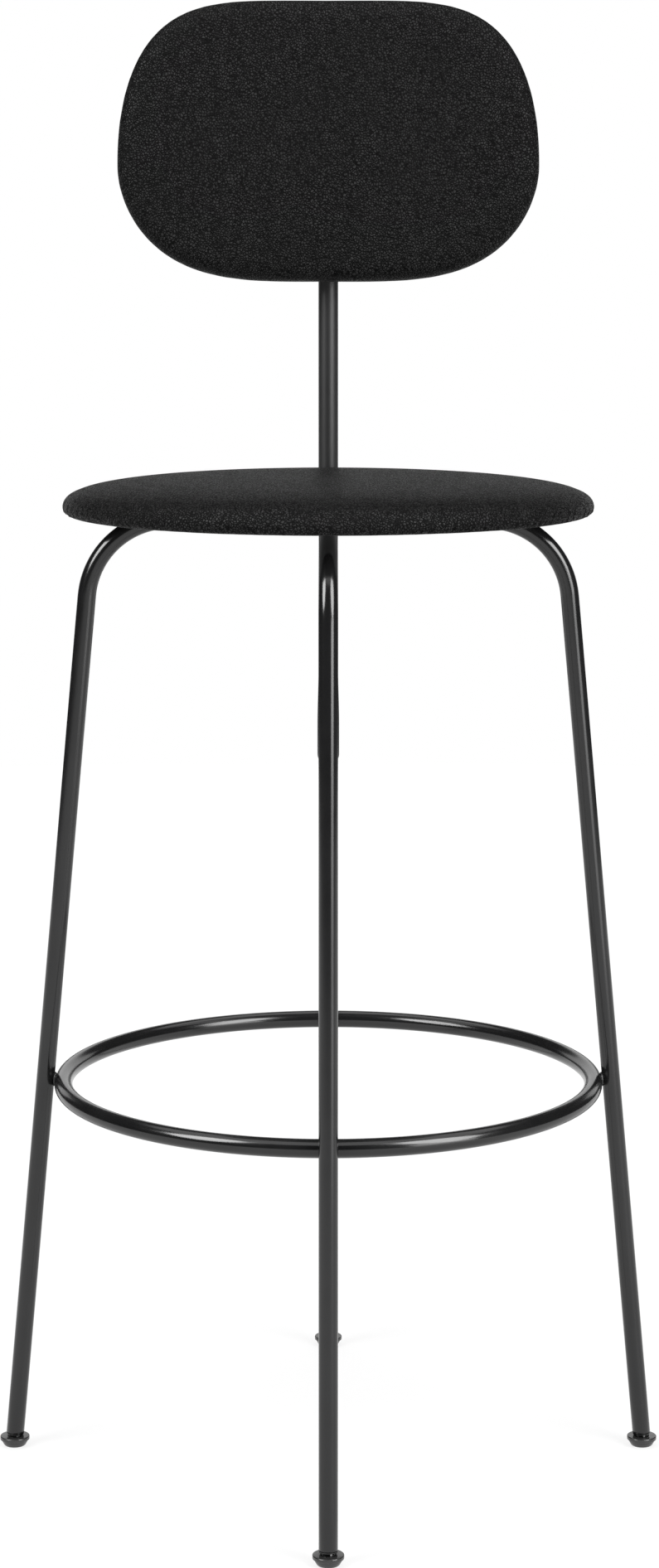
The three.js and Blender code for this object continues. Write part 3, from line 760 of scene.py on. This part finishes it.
def hex_recess(size, z, depth, rim_r):
    """A six-sided socket: a rim from the round head to the hexagon, its walls and its floor."""
    count = 48

    def hexagon(a):
        return size * math.cos(math.pi / 6) / math.cos((a % (math.pi / 3)) - math.pi / 6)

    rows = [(lambda a: rim_r, z), (hexagon, z + 0.1 * MM), (hexagon, z + depth),
            (lambda a: 0.0, z + depth * 1.15)]
    vertices = [
        Vector((radius(a) * math.cos(a), radius(a) * math.sin(a), height))
        for radius, height in rows
        for a in (2 * math.pi * k / count for k in range(count))
    ]
    return vertices, grid_faces(len(rows), count)


def make_fixings():
    seat_screw_r, seat_head_r = 2.95 * MM, 6 * MM
    back_screw_r, back_head_r = 2.4 * MM, 4.6 * MM
    for side in SIDES:
        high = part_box(f"seat_screw_{side}")[1]
        middle = middle_of(f"seat_screw_{side}")
        seat = LEG_TOP_Z - TUBE_R - 0.3 * MM
        screw = screw_mesh(seat_screw_r, seat_head_r, high.z - seat)
        centre = Vector((middle.x, middle.y, seat))
        make(f"seat_bolt_{side}", *placed(screw, Matrix.Translation(centre)), "fixings",
             replaces=[f"seat_screw_{side}"])
    for i in range(1, 5):
        low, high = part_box(f"backrest_screw_{i}")
        middle = middle_of(f"backrest_screw_{i}")
        head = high.y - back_head_r * 0.55
        screw = screw_mesh(back_screw_r, back_head_r, head - low.y)
        centre = Vector((middle.x, head, middle.z))
        turn = Matrix.Translation(centre) @ Matrix.Rotation(math.pi / 2, 4, "X")
        make(f"backrest_bolt_{i}", *placed(screw, turn), "fixings", replaces=[f"backrest_screw_{i}"])


# ---------------------------------------------------------------- backrest
# Each half of the outline: its height from the widest level, and its bulge across and up.
TOP_SHAPE = (BACK_HIGH.z - BACK_MID_Z, 4.65, 2.14)
BOTTOM_SHAPE = (BACK_DROP, 3.7, 1.79)


def outline_reach(across, up, bulge_across, bulge_up):
    """How far the outline lies along a direction, as a share of its half-sizes, found by halving."""
    low, high = 0.9, 1.5
    while high - low > 1e-7:
        middle = (low + high) / 2
        if abs(middle * across) ** bulge_across + abs(middle * up) ** bulge_up < 1:
            low = middle
        else:
            high = middle
    return low


def backrest_point(angle, inset, y, share=1.0):
    """A point of the backrest, from an angle round it, how far inside its outline it is, and how far back
    it was before the bend."""
    height, bulge_across, bulge_up = TOP_SHAPE if math.sin(angle) > 0 else BOTTOM_SHAPE
    reach = share * outline_reach(math.cos(angle), math.sin(angle), bulge_across, bulge_up)
    x = reach * (BACK_HALF_WIDTH - inset) * math.cos(angle)
    z = BACK_MID_Z + reach * (height - inset) * math.sin(angle)
    return Vector((x, y - x * x / (2 * BACK_CURVE_R), z))


def backrest_rows(front, rear, edge_r, inset):
    """Rows of (inset, y, share) from the rear middle round the edge to the front middle."""
    half = (rear - front) / 2
    middle = (rear + front) / 2
    rear_face = [(edge_r + inset, rear, i / 8) for i in range(1, 9)]
    edge = [(inset + edge_r * (1 - math.cos(a)), middle - half * math.sin(a), 1) for a in arc(-85, 85, 16)]
    front_face = [(edge_r + inset, front, i / 8) for i in range(8, 0, -1)]
    return rear_face + edge + front_face


def backrest_form(front, rear, inset, columns):
    """The pad's outside as a closed mesh."""
    rows = backrest_rows(front, rear, BACK_EDGE_R, inset)
    vertices = [backrest_point(2 * math.pi * c / columns, row_inset, y, share)
                for row_inset, y, share in rows for c in range(columns)]
    caps = [tuple(range(columns)), tuple(range(len(vertices) - columns, len(vertices)))]
    return vertices, grid_faces(len(rows), columns) + caps


def make_backrest():
    columns = 160
    slack = backrest_form(BACK_FRONT_Y + 1.5 * MM, BACK_REAR_Y, 0.6 * MM, columns)
    form = backrest_form(BACK_FRONT_Y, BACK_REAR_Y, 0, columns)
    pad = remeshed("backrest_pad", slack, 4 * MM)
    points = points_of(pad)
    flat_y = points[:, 1] + points[:, 0] ** 2 / (2 * BACK_CURVE_R)
    inflate(pad, flat_y > BACK_REAR_Y - 6 * MM, 4 * MM)
    settle(pad, form, 0.8)
    subdivided(pad)
    settle(pad, form, 0.6)
    fit_to(pad, BACK_LOW, BACK_HIGH)
    finish_piece(pad, "leather", replaces=["backrest_front_cover", "backrest_foam", "backrest_rear_cover"])
    make_backrest_welt()
    make_plate()


def make_backrest_welt():
    """The piping round the rear panel, where its edge is sewn to the front leather."""
    count, around, cord_r = 240, 10, 1.3 * MM
    path = [
        backrest_point(2 * math.pi * c / count, BACK_EDGE_R, BACK_REAR_Y - 0.2 * MM)
        for c in range(count)
    ]
    vertices = []
    for c, point in enumerate(path):
        along = (path[(c + 1) % count] - path[c - 1]).normalized()
        back = Vector((0, 1, 0))
        side = along.cross(back).normalized()
        for k in range(around):
            a = 2 * math.pi * k / around
            vertices.append(point + (side * math.cos(a) + back * math.sin(a)) * cord_r)
    make("backrest_welt", vertices, grid_faces(count, around, wrap_rows=True), "leather")


def make_plate():
    low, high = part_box("backrest_plate")
    corner, ease = 8 * MM, 0.5 * MM
    half = Vector(((high.x - low.x) / 2, 0, (high.z - low.z) / 2))
    middle = (low + high) / 2
    outline = [
        (sx * (half.x - corner), sz * (half.z - corner), math.cos(a), math.sin(a))
        for start, sx, sz in ((0, 1, 1), (90, -1, 1), (180, -1, -1), (270, 1, -1))
        for a in arc(start, start + 90, 12)
    ]
    rows = [(0, low.y, 0), (ease, low.y, 1), (0, low.y + ease, 1), (0, high.y - ease, 1), (ease, high.y, 1),
            (0, high.y, 0)]
    vertices = []
    for inset, y, share in rows:
        for x, z, cos, sin in outline:
            r = corner - inset
            vertices.append(Vector((middle.x + (x + r * cos) * share, y, middle.z + (z + r * sin) * share)))
    make("backrest_bracket", vertices, grid_faces(len(rows), len(outline)), "frame_paint",
         replaces=["backrest_plate"])
    seams = [plate_seam(sign, low.z + 8 * MM, high.z - 8 * MM, high.y) for sign in (-1, 1)]
    make("bracket_welds", *joined(*seams), "weld", record_slot="frame_paint")


def plate_seam(sign, bottom, top, y):
    """A bead along one side of the post where it meets the plate."""
    count = 60
    path = [
        Vector((sign * 3.4 * MM, y + 0.5 * MM, bottom + (top - bottom) * i / count))
        for i in range(count + 1)
    ]
    sizes = [1.5 * MM * min(1, math.sqrt(min(i, count - i) / 3)) * (1 + 0.12 * math.sin(i * 1.7)) + 0.02 * MM
             for i in range(count + 1)]
    return sweep(path, lambda i: (sizes[i], sizes[i]), 10, Vector((1, 0, 0)))


# ---------------------------------------------------------------- carried-over CAD nodes
def dress_cad_nodes():
    """The pieces inside the pads keep their CAD shape and get their finish."""
    finishes = {"seat_board": "plywood", "backrest_shell": "plywood"}
    finishes |= {f"seat_nut_{side}": "fixings" for side in SIDES}
    finishes |= {f"backrest_nut_{i}": "fixings" for i in range(1, 5)}
    for node, finish in finishes.items():
        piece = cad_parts[node]
        piece.data.materials.clear()
        piece.data.materials.append(MATERIALS[finish])


# ---------------------------------------------------------------- studio
def floor_paint():
    """A plain white sweep, lit from within as well, so that it stays as bright away from the lights."""
    m = Nodes("floor_paint", (0.12, 0.12, 0.12), 0.6,
              **{"Specular IOR Level": 0.1, "Emission Color": (1, 1, 1, 1)})
    away = m.add("ShaderNodeVectorMath", operation="LENGTH")
    m.link(m.position, away.inputs[0])
    m.into("Emission Strength", m.range(away.outputs["Value"], 0.0, 3.0, 0.79, 0.96))
    m.into("Base Color", m.ramp(m.noise(3, 2), (0.3, (0.118, 0.118, 0.118)), (0.7, (0.122, 0.122, 0.122))))
    return m.material


FLOOR_R, FLOOR_Y = 6, -2.5


def make_floor():
    mesh = bpy.data.meshes.new("floor")
    outline = [(FLOOR_R * math.cos(a), FLOOR_Y + FLOOR_R * math.sin(a), 0) for a in arc(0, 360, 96)[:-1]]
    mesh.from_pydata(outline, [], [tuple(range(len(outline)))])
    floor = bpy.data.objects.new("floor", mesh)
    bpy.context.scene.collection.objects.link(floor)
    mesh.materials.append(floor_paint())


LIGHT_DISTANCE = 2.4
LIGHT_AIM = Vector((0, 0, 0.7))


def make_panel(name, azimuth, low, high, width, radiance, shape="RECTANGLE"):
    """A light panel facing the aim point, from one elevation to another. Angles are in degrees, and azimuth
    is measured from the camera's side to its right."""
    elevation = math.radians((low + high) / 2)
    turn = math.radians(azimuth)
    level = math.cos(elevation)
    way = Vector((math.sin(turn) * level, -math.cos(turn) * level, math.sin(elevation)))
    data = bpy.data.lights.new(name, "AREA")
    data.shape = shape
    data.size, data.size_y = width, 2 * LIGHT_DISTANCE * math.tan(math.radians(high - low) / 2)
    data.energy = radiance * math.pi * data.size * data.size_y
    panel = bpy.data.objects.new(name, data)
    bpy.context.scene.collection.objects.link(panel)
    panel.location = LIGHT_AIM + way * LIGHT_DISTANCE
    panel.rotation_euler = (-way).to_track_quat("-Z", "Y").to_euler()
    panel.visible_camera = False


def make_overhead(irradiance, spread):
    """Even light from straight above, as from a ceiling of diffusers."""
    data = bpy.data.lights.new("overhead", "SUN")
    data.energy = irradiance
    data.angle = math.radians(spread)
    lamp = bpy.data.objects.new("overhead", data)
    bpy.context.scene.collection.objects.link(lamp)


def make_world(brightness):
    """White to the camera, as a studio sweep is, and a dim grey room to everything that it lights."""
    world = bpy.data.worlds.new("studio")
    bpy.context.scene.world = world
    world.use_nodes = True
    tree = world.node_tree
    sky = tree.nodes["Background"]
    sky.inputs["Color"].default_value = (1, 1, 1, 1)
    sky.inputs["Strength"].default_value = 1.0
    room = tree.nodes.new("ShaderNodeBackground")
    room.inputs["Strength"].default_value = brightness
    path = tree.nodes.new("ShaderNodeLightPath")
    choose = tree.nodes.new("ShaderNodeMixShader")
    tree.links.new(path.outputs["Is Camera Ray"], choose.inputs["Fac"])
    tree.links.new(room.outputs[0], choose.inputs[1])
    tree.links.new(sky.outputs[0], choose.inputs[2])
    tree.links.new(choose.outputs[0], tree.nodes["World Output"].inputs["Surface"])


def make_studio():
    make_floor()
    make_world(0.04)
    make_overhead(2.0, 80)
    make_panel("right_foot", 46, -16, -8, 1.1, 1.8)
    make_panel("right_low", 46, -8, -2, 1.15, 3.6)
    make_panel("right_middle", 46, -2, 6, 1.2, 8)
    make_panel("right_top", 50, 6, 50, 1.4, 9.5, "ELLIPSE")
    make_panel("left_top", -58, 13, 51, 1.3, 11, "ELLIPSE")
    make_panel("back", 180, -5, 14, 4.2, 1.05)


def make_camera():
    """The fitted camera: 2.61 m in front of the stool's middle, 0.95 m up, looking 9.2 degrees down."""
    data = bpy.data.cameras.new("camera")
    data.sensor_width = 36
    data.lens = 79.116
    data.shift_x = 0.000766
    camera = bpy.data.objects.new("camera", data)
    bpy.context.scene.collection.objects.link(camera)
    camera.location = (0, -2.6139, 0.954)
    camera.rotation_euler = Euler((math.radians(90 - 9.198), 0, 0))
    data.clip_start, data.clip_end = 0.05, 50
    bpy.context.scene.camera = camera


bpy.context.scene.view_settings.view_transform = "Standard"
make_camera()
make_studio()
make_legs()
make_footrest()
make_post()
make_glides()
make_seat()
make_backrest()
make_fixings()
dress_cad_nodes()
